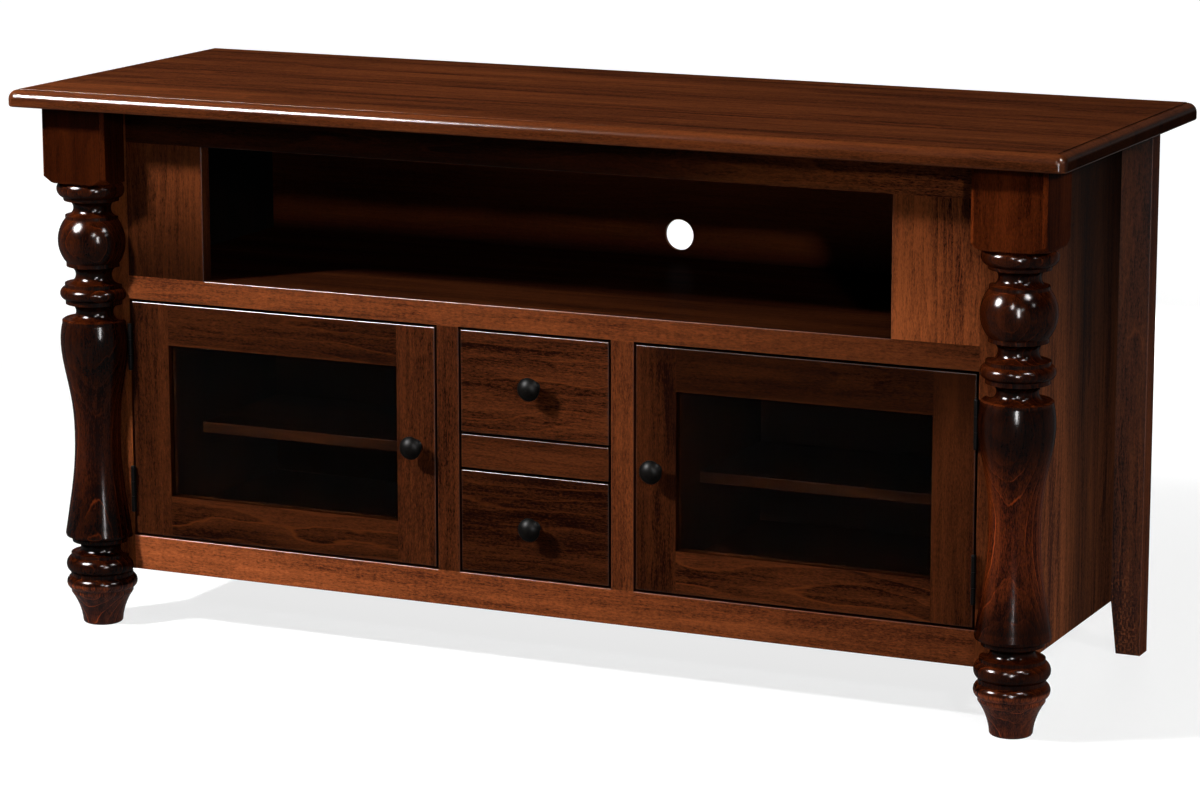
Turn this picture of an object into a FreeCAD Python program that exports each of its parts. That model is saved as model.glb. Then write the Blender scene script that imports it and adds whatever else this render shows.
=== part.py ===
import FreeCAD, Part
import math
import os

# A free-standing television cabinet with turned front legs, an open bay for devices,
# two glazed doors and two drawers. Millimetres, +Z up, the front faces -Y, +X is the
# viewer's right, and the origin is on the floor under the middle of the top.

# Overall sizes
TOP_WIDTH = 1524.0
TOP_DEPTH = 559.0
TOP_THICK = 24.0
HEIGHT = 762.0
TOP_OVERHANG = 34.0            # past the leg blocks, in front and at the sides
BACK_OVERHANG = 11.5           # past the back of the case

# Edge of the top: a low raised field, then a roundover down to a square edge
FIELD_STEP = 1.0
FIELD_INSET = 13.5
TOP_ROUND = 12.5
TOP_CORNER = 13.0
TOP_UNDER_EASE = 3.0

# Front legs
LEG_BLOCK = 100.0
BLOCK_LENGTH = 107.0           # the square part under the top
BLOCK_CHAMFER = 5.0            # on its upright edges
SHOULDER_HEIGHT = 11.5         # of the slope that cuts off its lower corners
SHOULDER_FLAT = 15.0           # flat ring around the start of the round part
FRAME_SETBACK = 4.5            # face frame behind the leg's axis
SIDE_SET_IN = 8.0              # side panel inside the leg's axis

# Case
SIDE_BOTTOM = 73.0
CASE_BOTTOM = 81.0
SIDE_THICK = 19.0
PANEL_THICK = 18.0
BACK_THICK = 6.4
FRAME_THICK = 20.0
CORNER_STILE_WIDTH = 45.0
DADO = 6.0                     # depth of the groove in a side for a level panel's tongue
TONGUE_THICK = 9.0
EASE = 1.2                     # rounding of the edges that the hand meets

# Face frame
BOTTOM_RAIL_HEIGHT = 48.5
MID_RAIL_HEIGHT = 33.0
TOP_RAIL_HEIGHT = 52.0
MID_RAIL_TOP = 499.5
BAY_STILE_WIDTH = 120.0
MULLION_WIDTH = 33.0
DRAWER_BAY_WIDTH = 225.0
PARTITION_SET_BACK = 7.5       # partition's drawer side behind the mullion's edge

# Rear legs
REAR_LEG_WIDTH = 43.0
REAR_LEG_DEPTH = 32.0
REAR_LEG_TAPER = 8.5

# Cable hole in the back of the bay
CABLE_HOLE_RADIUS = 22.2
CABLE_HOLE_X = 10.0
CABLE_HOLE_ABOVE_DECK = 33.0

# Doors
REVEAL = 3.2                   # gap beside doors and drawers
END_REVEAL = 3.2               # gap above and below them
DOOR_STILE = 58.0
DOOR_RAIL = 58.0
DOOR_LIP = 8.0                 # wood in front of the glass
RABBET = 8.0
GLASS_THICK = 3.0
GLASS_PLAY = 1.0
STOP_DEPTH = 8.0
TENON_THICK = 6.0
TENON_LENGTH = 25.0
TENON_SHOULDER = 10.0
TENON_BEHIND_LIP = 2.0

# Butt hinges
HINGE_LENGTH = 62.0
HINGE_FROM_END = 33.0
KNUCKLE_RADIUS = 3.2
HINGE_PROUD = 0.4              # clear space between the knuckle and the face
HINGE_PIN_RADIUS = 1.5
HINGE_PLAY = 0.05
HINGE_TIP = 2.0
HINGE_TIP_ROUND = 1.6
LEAF_THICK = 0.9
LEAF_DEPTH = 16.0
KNUCKLE_GAP = 0.4

# Knobs
KNOB_RADIUS = 16.0
KNOB_LENGTH = 27.0
KNOB_BASE = 9.0                # radius of the plate against the wood
KNOB_PLATE = 1.5               # thickness of that plate
KNOB_NECK = 6.5                # radius of the neck, and its distance from the face
KNOB_NECK_OUT = 7.65
KNOB_FLARE = (7.2, 3.4)        # radius and distance halfway from the plate to the neck
KNOB_BELL = (9.1, 13.25)       # radius and distance halfway from the neck to the rim
KNOB_RIM = 17.0                # distance of the rim from the face
KNOB_EDGE = 1.5                # thickness of the rim
STUD_RADIUS = 2.0
STUD_PLAY = 0.1
STUD_LENGTH = 15.0

# Shelves behind the doors
SHELF_SET_BACK = 235.0         # from the face frame's front
SHELF_THICK = 16.0
SHELF_TOP = 245.0
SHELF_PLAY = 1.0
SHELF_BACK_GAP = 0.5
PIN_RADIUS = 2.5
PIN_IN_WALL = 9.0
PIN_PLAY = 0.05
PIN_TAB = 9.0
PIN_TAB_HALF = 5.0
PIN_TAB_HEIGHT = 6.0
PIN_FROM_EDGE = 35.0

# Drawers
STRIP_HEIGHT = 46.0            # fixed strip between the two drawers
STRIP_REVEAL_DEPTH = 9.0
DRAWER_SIDE = 13.0
DRAWER_SIDE_RISE = 12.0        # sides above the bottom of the front
DRAWER_SIDE_HEIGHT = 108.0
DRAWER_BACK_GAP = 44.0         # between a drawer's box and the back panel
DRAWER_JOINT = 8.0
DRAWER_BOTTOM = 6.0
DRAWER_BOTTOM_RISE = 10.0
DRAWER_GROOVE = 6.0

# Drawer slides, a channel on the partition and a bar on the drawer
SLIDE_ROOM = 12.7              # between the drawer's side and the partition
SLIDE_HEIGHT = 44.0
SLIDE_METAL = 1.5
SLIDE_PLAY = 0.3
SLIDE_DEPTH = 10.0             # how far the channel reaches from the partition
SLIDE_BEHIND_FRAME = 3.0
SLIDE_BAR_DEPTH = 4.8

# Magnetic catches and the cleats that hold the top
CATCH_WIDTH = 40.0
CATCH_DEPTH = 14.0
CATCH_HEIGHT = 34.0
CATCH_FROM_EDGE = 20.0
CATCH_PLAY = 0.3
CLEAT = 18.0
CLEAT_END_GAP = 12.0

# Places worked out from the sizes
TOP_BOTTOM = HEIGHT - TOP_THICK
AXIS_X = TOP_WIDTH / 2 - TOP_OVERHANG - LEG_BLOCK / 2
AXIS_Y = -TOP_DEPTH / 2 + TOP_OVERHANG + LEG_BLOCK / 2
FACE_Y = AXIS_Y + FRAME_SETBACK
FRAME_BACK = FACE_Y + FRAME_THICK
CASE_X = AXIS_X - SIDE_SET_IN
SIDE_INNER = CASE_X - SIDE_THICK
CASE_BACK = TOP_DEPTH / 2 - BACK_OVERHANG
WALL_Y = CASE_BACK - BACK_THICK
DRAWER_END = WALL_Y - DRAWER_BACK_GAP
STILE_X = CASE_X - CORNER_STILE_WIDTH
BAY_X = STILE_X - BAY_STILE_WIDTH
TOP_RAIL_BOTTOM = TOP_BOTTOM - TOP_RAIL_HEIGHT
MID_RAIL_BOTTOM = MID_RAIL_TOP - MID_RAIL_HEIGHT
SILL = CASE_BOTTOM + BOTTOM_RAIL_HEIGHT
DECK_BOTTOM = MID_RAIL_TOP - PANEL_THICK
MULLION_IN = DRAWER_BAY_WIDTH / 2
MULLION_OUT = MULLION_IN + MULLION_WIDTH
PARTITION_IN = MULLION_IN + PARTITION_SET_BACK
PARTITION_OUT = PARTITION_IN + PANEL_THICK
DOOR_IN = MULLION_OUT + REVEAL
DOOR_OUT = STILE_X - REVEAL
DOOR_LOW = SILL + END_REVEAL
DOOR_HIGH = MID_RAIL_BOTTOM - END_REVEAL
GLASS_IN = DOOR_IN + DOOR_STILE
GLASS_OUT = DOOR_OUT - DOOR_STILE
GLASS_LOW = DOOR_LOW + DOOR_RAIL
GLASS_HIGH = DOOR_HIGH - DOOR_RAIL
LIP_Y = FACE_Y + DOOR_LIP
HINGE_X = STILE_X - REVEAL / 2
HINGE_Y = FACE_Y - HINGE_PROUD - KNUCKLE_RADIUS
SHELF_Y = FACE_Y + SHELF_SET_BACK
FRONT_HALF = MULLION_IN - REVEAL
BOX_OUT = PARTITION_IN - SLIDE_ROOM
BOX_IN = BOX_OUT - DRAWER_SIDE
DRAWER_FACE = (DOOR_HIGH - DOOR_LOW - STRIP_HEIGHT - 2 * REVEAL) / 2
STRIP_LOW = DOOR_LOW + DRAWER_FACE + REVEAL
STRIP_HIGH = STRIP_LOW + STRIP_HEIGHT
DRAWER_LOWS = {"drawer_lower": DOOR_LOW, "drawer_upper": STRIP_HIGH + REVEAL}
SIDES = {"left": -1, "right": 1}

# Turned part of the front leg, as stretches from the block down: shape, length, radius
# at the middle, radius at the lower end. The vase takes what is left above the foot.
START_RADIUS = 43.0
UPPER_TURNING = [
    ("curve", 23.0, 49.5, 41.0),
    ("line", 4.5, None, 40.0),
    ("step", 0.0, None, 37.5),
    ("curve", 21.0, 27.0, 37.0),
    ("step", 0.0, None, 38.5),
    ("line", 4.5, None, 38.5),
    ("curve", 61.5, 49.5, 38.5),
    ("line", 5.5, None, 38.5),
    ("step", 0.0, None, 37.0),
    ("curve", 24.0, 26.0, 38.0),
    ("step", 0.0, None, 41.5),
    ("line", 5.0, None, 41.5),
    ("curve", 18.0, 48.3, 41.0),
    ("line", 6.0, None, 41.0),
    ("step", 0.0, None, 38.0),
    ("curve", 21.0, 27.0, 43.5),
    ("line", 2.0, None, 46.5),
    ("line", 4.0, None, 46.5),
]
# The vase, as shares of its length and radii
VASE = [(0.10, 49.5), (0.245, 43.7), (0.385, 36.3), (0.555, 33.4), (0.715, 35.6), (0.86, 41.2)]
VASE_FOOT_RADIUS = 47.8
# The foot, from the vase down to the floor
FOOT_TURNING = [
    ("line", 10.0, None, 49.5),
    ("line", 3.5, None, 48.5),
    ("line", 3.5, None, 41.0),
    ("line", 5.0, None, 40.5),
    ("step", 0.0, None, 38.5),
    ("curve", 16.5, 28.9, 40.0),
    ("step", 0.0, None, 42.5),
    ("line", 4.5, None, 42.5),
    ("curve", 23.0, 49.5, 43.7),
    ("line", 5.5, None, 43.7),
    ("curve", 19.0, 49.5, 44.0),
    ("line", 5.0, None, 43.5),
    ("curve", 42.0, 32.5, 28.0),
    ("curve", 3.0, 27.2, 25.0),
]


def box(x0, x1, y0, y1, z0, z1):
    """A block between two corners, given in any order along X."""
    low = min(x0, x1)
    return Part.makeBox(abs(x1 - x0), y1 - y0, z1 - z0, FreeCAD.Vector(low, y0, z0))


def edges_on(shape, **planes):
    """The edges that lie on all the given planes, such as y=0, z=10."""
    found = []
    for edge in shape.Edges:
        ends = [v.Point for v in edge.Vertexes]
        if all(abs(getattr(p, axis) - at) < 1e-4 for p in ends for axis, at in planes.items()):
            found.append(edge)
    return found


def eased(shape, radius, *places):
    """The shape with the edges at the given places rounded."""
    edges = []
    for place in places:
        edges += edges_on(shape, **place)
    return shape.makeFillet(radius, edges)


def cylinder(radius, length, at, along):
    return Part.makeCylinder(radius, length, FreeCAD.Vector(*at), FreeCAD.Vector(*along))


def turned(wire_edges, axis_from, axis_to):
    """A solid turned from an open outline whose ends lie on the axis."""
    start = FreeCAD.Vector(*axis_from)
    end = FreeCAD.Vector(*axis_to)
    closing = Part.LineSegment(end, start).toShape()
    face = Part.Face(Part.Wire(wire_edges + [closing]))
    solid = face.revolve(start, end - start, 360)
    return solid if solid.Volume > 0 else solid.reversed()


def along_z(stretches, z, radius):
    """Outline edges for stretches that go down from a height and radius."""
    edges = []
    here = FreeCAD.Vector(radius, 0, z)
    for shape, length, middle, end_radius in stretches:
        there = FreeCAD.Vector(end_radius, 0, here.z - length)
        if shape == "curve":
            half = FreeCAD.Vector(middle, 0, here.z - length / 2)
            edges.append(Part.Arc(here, half, there).toShape())
        else:
            edges.append(Part.LineSegment(here, there).toShape())
        here = there
    return edges, here


def vase_curve(start, end):
    """The long swelling and tapering stretch between the upper turning and the foot."""
    points = [start]
    for share, radius in VASE:
        points.append(FreeCAD.Vector(radius, 0, start.z + share * (end.z - start.z)))
    points.append(end)
    curve = Part.BSplineCurve()
    curve.interpolate(points)
    return curve.toShape()


def leg_round():
    """The round part of a front leg, about the Z axis."""
    top = TOP_BOTTOM - BLOCK_LENGTH
    foot_height = sum(stretch[1] for stretch in FOOT_TURNING)
    core = FreeCAD.Vector(START_RADIUS, 0, top)
    upper, upper_end = along_z(UPPER_TURNING, top, START_RADIUS)
    foot, foot_end = along_z(FOOT_TURNING, foot_height, VASE_FOOT_RADIUS)
    vase = vase_curve(upper_end, FreeCAD.Vector(VASE_FOOT_RADIUS, 0, foot_height))
    lid = Part.LineSegment(FreeCAD.Vector(0, 0, top), core).toShape()
    base = Part.LineSegment(foot_end, FreeCAD.Vector(0, 0, 0)).toShape()
    return turned([lid] + upper + [vase] + foot + [base], (0, 0, top), (0, 0, 0))


def leg_square():
    """The block over it, whose lower corners are turned away to a slope."""
    low = TOP_BOTTOM - BLOCK_LENGTH
    half = LEG_BLOCK / 2
    block = box(-half, half, -half, half, low, TOP_BOTTOM)
    corners = [dict(x=x, y=y) for x in (-half, half) for y in (-half, half)]
    block = block.makeChamfer(BLOCK_CHAMFER, [e for c in corners for e in edges_on(block, **c)])
    slope_top = low + SHOULDER_HEIGHT
    places = [(0, low), (START_RADIUS + SHOULDER_FLAT, low), (half * math.sqrt(2), slope_top),
              (LEG_BLOCK, slope_top), (LEG_BLOCK, TOP_BOTTOM), (0, TOP_BOTTOM)]
    points = [FreeCAD.Vector(radius, 0, z) for radius, z in places]
    outline = [Part.LineSegment(a, b).toShape() for a, b in zip(points, points[1:])]
    envelope = turned(outline, (0, 0, low), (0, 0, TOP_BOTTOM))
    return block.common(envelope)


def front_leg(side):
    """A turned leg that is cut away behind, where it stands around the case's corner."""
    leg = leg_round().fuse(leg_square()).removeSplitter()
    leg.translate(FreeCAD.Vector(side * AXIS_X, AXIS_Y, 0))
    corner = box(side * CASE_X, side * (CASE_X - LEG_BLOCK), FACE_Y, FACE_Y + LEG_BLOCK,
                 SIDE_BOTTOM, HEIGHT)
    return leg.cut(corner)


def rear_leg(side):
    """A square post beside the back edge of a side panel, tapered on its inner side below it."""
    inner = side * CASE_X
    outer = side * (CASE_X + REAR_LEG_WIDTH)
    front = CASE_BACK - REAR_LEG_DEPTH
    foot = side * (CASE_X + REAR_LEG_TAPER)
    points = [(inner, TOP_BOTTOM), (outer, TOP_BOTTOM), (outer, 0), (foot, 0), (inner, SIDE_BOTTOM)]
    corners = [FreeCAD.Vector(x, front, z) for x, z in points]
    face = Part.Face(Part.makePolygon(corners + corners[:1]))
    post = face.extrude(FreeCAD.Vector(0, REAR_LEG_DEPTH, 0))
    return eased(post, EASE, dict(x=outer, y=front), dict(x=outer, y=CASE_BACK))


def top_panel():
    x = TOP_WIDTH / 2
    y = TOP_DEPTH / 2
    shoulder = HEIGHT - FIELD_STEP
    slab = box(-x, x, -y, y, TOP_BOTTOM, shoulder)
    slab = eased(slab, TOP_CORNER, *[dict(x=a, y=b) for a in (-x, x) for b in (-y, y)])
    slab = slab.makeFillet(TOP_ROUND, edges_on(slab, z=shoulder))
    slab = slab.makeFillet(TOP_UNDER_EASE, edges_on(slab, z=TOP_BOTTOM))
    inset = FIELD_INSET
    field = box(-x + inset, x - inset, -y + inset, y - inset, shoulder, HEIGHT)
    field = eased(field, FIELD_STEP / 2, dict(z=HEIGHT))
    return slab.fuse(field).removeSplitter()


def side_panel(side):
    """A plain side with a groove for the bottom's tongue and one for the deck's."""
    panel = box(side * SIDE_INNER, side * CASE_X, FRAME_BACK, CASE_BACK, SIDE_BOTTOM, TOP_BOTTOM)
    for high in (SILL, MID_RAIL_TOP):
        low = high - PANEL_THICK
        groove = box(side * SIDE_INNER, side * (SIDE_INNER + DADO), FRAME_BACK, WALL_Y,
                     low, low + TONGUE_THICK)
        panel = panel.cut(groove)
    for y in shelf_pin_places():
        panel = panel.cut(shelf_pin_hole(side * SIDE_INNER, side, y))
    return panel


def level_panel(high):
    """The case's bottom or the deck of the bay, with a tongue at each end in the sides' grooves."""
    low = high - PANEL_THICK
    reach = SIDE_INNER + DADO
    board = box(-SIDE_INNER, SIDE_INNER, FRAME_BACK, WALL_Y, low, high)
    tongues = box(-reach, reach, FRAME_BACK, WALL_Y, low, low + TONGUE_THICK)
    return board.fuse(tongues).removeSplitter()


def back_panel():
    panel = box(-SIDE_INNER, SIDE_INNER, WALL_Y, CASE_BACK, CASE_BOTTOM, TOP_BOTTOM)
    height = MID_RAIL_TOP + CABLE_HOLE_ABOVE_DECK
    hole = cylinder(CABLE_HOLE_RADIUS, BACK_THICK, (CABLE_HOLE_X, WALL_Y, height), (0, 1, 0))
    return panel.cut(hole)


def frame_rail(low, high, over=(), under=()):
    """A rail of the face frame, whose edges are eased only along the openings over and under it."""
    rail = box(-STILE_X, STILE_X, FACE_Y, FRAME_BACK, low, high)
    for openings, edge, inward in ((over, high, -1), (under, low, 1)):
        for start, end in openings:
            rail = rail.cut(arris(start, end, edge, inward))
    return rail


def arris(start, end, edge, inward):
    """What is planed off the front edge of a rail to round it between two places."""
    heights = sorted((edge, edge + inward * EASE))
    strip = box(start, end, FACE_Y, FACE_Y + EASE, *heights)
    at = (start, FACE_Y + EASE, edge + inward * EASE)
    return strip.cut(cylinder(EASE, end - start, at, (1, 0, 0)))


def lower_openings():
    """Where the left door, the drawers and the right door are, along X."""
    return ((-STILE_X, -MULLION_OUT), (-MULLION_IN, MULLION_IN), (MULLION_OUT, STILE_X))


def corner_stile(side):
    return box(side * STILE_X, side * CASE_X, FACE_Y, FRAME_BACK, CASE_BOTTOM, TOP_BOTTOM)


def bay_stile(side):
    edge = side * BAY_X
    stile = box(edge, side * STILE_X, FACE_Y, FRAME_BACK, MID_RAIL_TOP, TOP_RAIL_BOTTOM)
    return eased(stile, EASE, dict(x=edge, y=FACE_Y))


def mullion(side):
    near = side * MULLION_IN
    far = side * MULLION_OUT
    post = box(near, far, FACE_Y, FRAME_BACK, SILL, MID_RAIL_BOTTOM)
    return eased(post, EASE, dict(x=near, y=FACE_Y), dict(x=far, y=FACE_Y))


def drawer_divider():
    """The fixed strip between the drawers, with a narrow reveal at each end of its face."""
    step = FACE_Y + STRIP_REVEAL_DEPTH
    face = box(-FRONT_HALF, FRONT_HALF, FACE_Y, step, STRIP_LOW, STRIP_HIGH)
    face = eased(face, EASE, dict(y=FACE_Y))
    rail = box(-MULLION_IN, MULLION_IN, step, FRAME_BACK, STRIP_LOW, STRIP_HIGH)
    return face.fuse(rail).removeSplitter()


def partition(side):
    """The wall between a door's compartment and the drawers, standing on the bottom."""
    inner = side * PARTITION_IN
    outer = side * PARTITION_OUT
    wall = box(inner, outer, FRAME_BACK, WALL_Y, SILL, DECK_BOTTOM)
    for y in shelf_pin_places():
        wall = wall.cut(shelf_pin_hole(outer, -side, y))
    return wall


def shelf(side):
    """A half-depth shelf on four pins."""
    low = SHELF_TOP - SHELF_THICK
    inner = side * (PARTITION_OUT + SHELF_PLAY)
    outer = side * (SIDE_INNER - SHELF_PLAY)
    board = box(inner, outer, SHELF_Y, WALL_Y - SHELF_BACK_GAP, low, SHELF_TOP)
    return eased(board, EASE, dict(y=SHELF_Y, z=SHELF_TOP), dict(y=SHELF_Y, z=low))


def shelf_pin_places():
    return (SHELF_Y + PIN_FROM_EDGE, WALL_Y - PIN_FROM_EDGE)


def shelf_pin_height():
    return SHELF_TOP - SHELF_THICK - PIN_TAB_HEIGHT / 2


def shelf_pin_hole(wall_x, into, y):
    """The hole for a pin, from a wall's face, going into the wall."""
    at = (wall_x, y, shelf_pin_height())
    return cylinder(PIN_RADIUS + PIN_PLAY, PIN_IN_WALL + PIN_PLAY, at, (into, 0, 0))


def shelf_pin(wall_x, into, y):
    """A pin with a flat tab that a shelf rests on."""
    high = SHELF_TOP - SHELF_THICK
    stub = cylinder(PIN_RADIUS, PIN_IN_WALL, (wall_x, y, shelf_pin_height()), (into, 0, 0))
    tab = box(wall_x, wall_x - into * PIN_TAB, y - PIN_TAB_HALF, y + PIN_TAB_HALF,
              high - PIN_TAB_HEIGHT, high)
    return stub.fuse(tab)


def shelf_pins():
    pins = []
    for side in SIDES.values():
        for y in shelf_pin_places():
            pins.append(shelf_pin(side * SIDE_INNER, side, y))
            pins.append(shelf_pin(side * PARTITION_OUT, -side, y))
    return Part.makeCompound(pins)


def door_catch(side):
    """A magnetic catch under the deck, whose front face stops the closed door."""
    near = side * (DOOR_IN + CATCH_FROM_EDGE)
    far = side * (DOOR_IN + CATCH_FROM_EDGE + CATCH_WIDTH)
    front = FRAME_BACK + CATCH_PLAY
    return box(near, far, front, front + CATCH_DEPTH, DECK_BOTTOM - CATCH_HEIGHT, DECK_BOTTOM)


def top_cleat(side):
    inner = side * (SIDE_INNER - CLEAT)
    return box(inner, side * SIDE_INNER, FRAME_BACK + CLEAT_END_GAP, WALL_Y - CLEAT_END_GAP,
               TOP_BOTTOM - CLEAT, TOP_BOTTOM)


def hinge_lows():
    return (DOOR_LOW + HINGE_FROM_END, DOOR_HIGH - HINGE_FROM_END - HINGE_LENGTH)


def knuckle(side, low, high):
    """A length of hinge barrel."""
    return cylinder(KNUCKLE_RADIUS, high - low, (side * HINGE_X, HINGE_Y, low), (0, 0, 1))


def hinge_leaf(side, low, on_door):
    """One leaf of a hinge: the door's has the middle knuckle, the frame's has the outer two."""
    third = HINGE_LENGTH / 3
    high = low + HINGE_LENGTH
    if on_door:
        wall = DOOR_OUT
        face = wall + LEAF_THICK
        spans = [(low + third + KNUCKLE_GAP / 2, high - third - KNUCKLE_GAP / 2)]
    else:
        wall = STILE_X
        face = wall - LEAF_THICK
        spans = [(low, low + third - KNUCKLE_GAP / 2), (high - third + KNUCKLE_GAP / 2, high)]
    leaf = box(side * wall, side * face, FACE_Y, FACE_Y + LEAF_DEPTH, low, high)
    for start, end in spans:
        tongue = box(side * wall, side * face, HINGE_Y, FACE_Y, start, end)
        leaf = leaf.fuse([knuckle(side, start, end), tongue])
    bore = HINGE_PIN_RADIUS + HINGE_PLAY
    hole = cylinder(bore, HINGE_LENGTH, (side * HINGE_X, HINGE_Y, low), (0, 0, 1))
    return leaf.cut(hole).removeSplitter()


def hinge_pin(side, low):
    """A loose pin with a small rounded tip at each end of the barrel."""
    high = low + HINGE_LENGTH
    shank = cylinder(HINGE_PIN_RADIUS, HINGE_LENGTH, (side * HINGE_X, HINGE_Y, low), (0, 0, 1))
    tips = []
    for start, end, outer in ((low - HINGE_TIP, low, low - HINGE_TIP),
                              (high, high + HINGE_TIP, high + HINGE_TIP)):
        tip = knuckle(side, start, end)
        tips.append(tip.makeFillet(HINGE_TIP_ROUND, edges_on(tip, z=outer)))
    return shank.fuse(tips)


def door_stile(side, edge, toward, hole=False):
    """An upright of a door, from its outer edge, rabbeted at the back for the glass."""
    inner = edge + toward * DOOR_STILE
    stile = box(side * edge, side * inner, FACE_Y, FRAME_BACK, DOOR_LOW, DOOR_HIGH)
    step = inner - toward * RABBET
    stile = stile.cut(box(side * step, side * inner, LIP_Y, FRAME_BACK, DOOR_LOW, DOOR_HIGH))
    for low, high in tenon_heights():
        deep = step - toward * TENON_LENGTH
        stile = stile.cut(box(side * step, side * deep, tenon_front(), tenon_back(), low, high))
    if hole:
        stile = stile.cut(knob_hole(side * knob_x(), door_middle()))
    return eased(stile, EASE, dict(x=side * edge, y=FACE_Y), dict(y=FACE_Y, z=DOOR_HIGH),
                 dict(y=FACE_Y, z=DOOR_LOW))


def tenon_front():
    return LIP_Y + TENON_BEHIND_LIP


def tenon_back():
    return tenon_front() + TENON_THICK


def tenon_heights():
    """Lowest and highest point of the lower and the upper tenon."""
    lower = (DOOR_LOW + TENON_SHOULDER, GLASS_LOW - RABBET - TENON_SHOULDER)
    upper = (GLASS_HIGH + RABBET + TENON_SHOULDER, DOOR_HIGH - TENON_SHOULDER)
    return lower, upper


def door_rail(side, is_top):
    """A rail between the stiles, rabbeted at the back, with a tenon at each end."""
    if is_top:
        outer, inner, step = DOOR_HIGH, GLASS_HIGH, GLASS_HIGH + RABBET
    else:
        outer, inner, step = DOOR_LOW, GLASS_LOW, GLASS_LOW - RABBET
    low, high = sorted((outer, inner))
    back_low, back_high = sorted((outer, step))
    lip = box(side * GLASS_IN, side * GLASS_OUT, FACE_Y, LIP_Y, low, high)
    back = box(side * (GLASS_IN - RABBET), side * (GLASS_OUT + RABBET), LIP_Y, FRAME_BACK,
               back_low, back_high)
    tenon_low, tenon_high = tenon_heights()[1 if is_top else 0]
    reach = RABBET + TENON_LENGTH
    tenon = box(side * (GLASS_IN - reach), side * (GLASS_OUT + reach), tenon_front(), tenon_back(),
                tenon_low, tenon_high)
    rail = lip.fuse([back, tenon]).removeSplitter()
    return eased(rail, EASE, dict(y=FACE_Y, z=outer))


def door_glass(side):
    reach = RABBET - GLASS_PLAY
    return box(side * (GLASS_IN - reach), side * (GLASS_OUT + reach), LIP_Y, LIP_Y + GLASS_THICK,
               GLASS_LOW - reach, GLASS_HIGH + reach)


def glass_stops(side):
    """Four strips that hold the glass in its rabbet."""
    front = LIP_Y + GLASS_THICK
    back = front + STOP_DEPTH
    near, far = GLASS_IN - RABBET, GLASS_OUT + RABBET
    low, high = GLASS_LOW - RABBET, GLASS_HIGH + RABBET
    strips = [box(side * near, side * GLASS_IN, front, back, low, high),
              box(side * GLASS_OUT, side * far, front, back, low, high),
              box(side * GLASS_IN, side * GLASS_OUT, front, back, low, GLASS_LOW),
              box(side * GLASS_IN, side * GLASS_OUT, front, back, GLASS_HIGH, high)]
    return Part.makeCompound(strips)


def knob_x():
    return DOOR_IN + DOOR_STILE / 2


def door_middle():
    return (DOOR_LOW + DOOR_HIGH) / 2


def knob_hole(x, z):
    return cylinder(STUD_RADIUS + STUD_PLAY, STUD_LENGTH + STUD_PLAY, (x, FACE_Y, z), (0, 1, 0))


def knob(x, z):
    """A mushroom knob with its screw, which points into the wood."""
    corners = [(0, STUD_LENGTH), (STUD_RADIUS, STUD_LENGTH), (STUD_RADIUS, 0), (KNOB_BASE, 0),
               (KNOB_BASE, -KNOB_PLATE)]
    at = [FreeCAD.Vector(r, d, 0) for r, d in corners]
    edges = [Part.LineSegment(p, q).toShape() for p, q in zip(at, at[1:])]
    flare = FreeCAD.Vector(KNOB_FLARE[0], -KNOB_FLARE[1], 0)
    neck = FreeCAD.Vector(KNOB_NECK, -KNOB_NECK_OUT, 0)
    bell = FreeCAD.Vector(KNOB_BELL[0], -KNOB_BELL[1], 0)
    under = FreeCAD.Vector(KNOB_RADIUS, -KNOB_RIM, 0)
    rim = FreeCAD.Vector(KNOB_RADIUS, -KNOB_RIM - KNOB_EDGE, 0)
    rise = KNOB_LENGTH - KNOB_RIM - KNOB_EDGE
    dome = (KNOB_RADIUS ** 2 + rise ** 2) / (2 * rise)
    half = math.asin(KNOB_RADIUS / dome) / 2
    crown = FreeCAD.Vector(dome * math.sin(half), dome * (1 - math.cos(half)) - KNOB_LENGTH, 0)
    edges.append(Part.Arc(at[-1], flare, neck).toShape())
    edges.append(Part.Arc(neck, bell, under).toShape())
    edges.append(Part.LineSegment(under, rim).toShape())
    edges.append(Part.Arc(rim, crown, FreeCAD.Vector(0, -KNOB_LENGTH, 0)).toShape())
    solid = turned(edges, (0, STUD_LENGTH, 0), (0, -KNOB_LENGTH, 0))
    head_rim = [e for e in solid.Edges if e.Closed and abs(e.BoundBox.YMax - rim.y) < 0.01]
    solid = solid.makeFillet(KNOB_EDGE / 2, head_rim)
    solid.translate(FreeCAD.Vector(x, FACE_Y, z))
    return solid


def drawer_front(low):
    """A drawer's front, grooved at the back for the sides and the bottom."""
    high = low + DRAWER_FACE
    front = box(-FRONT_HALF, FRONT_HALF, FACE_Y, FRAME_BACK, low, high)
    side_low = low + DRAWER_SIDE_RISE
    side_high = side_low + DRAWER_SIDE_HEIGHT
    for side in SIDES.values():
        front = front.cut(box(side * BOX_IN, side * BOX_OUT, FRAME_BACK - DRAWER_JOINT, FRAME_BACK,
                              side_low, side_high))
    floor = side_low + DRAWER_BOTTOM_RISE
    front = front.cut(box(-BOX_IN, BOX_IN, FRAME_BACK - DRAWER_GROOVE, FRAME_BACK,
                          floor, floor + DRAWER_BOTTOM))
    front = front.cut(knob_hole(0, low + DRAWER_FACE / 2))
    rim = [dict(y=FACE_Y, z=low), dict(y=FACE_Y, z=high)]
    rim += [dict(x=x, y=FACE_Y) for x in (-FRONT_HALF, FRONT_HALF)]
    return eased(front, EASE, *rim)


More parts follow.
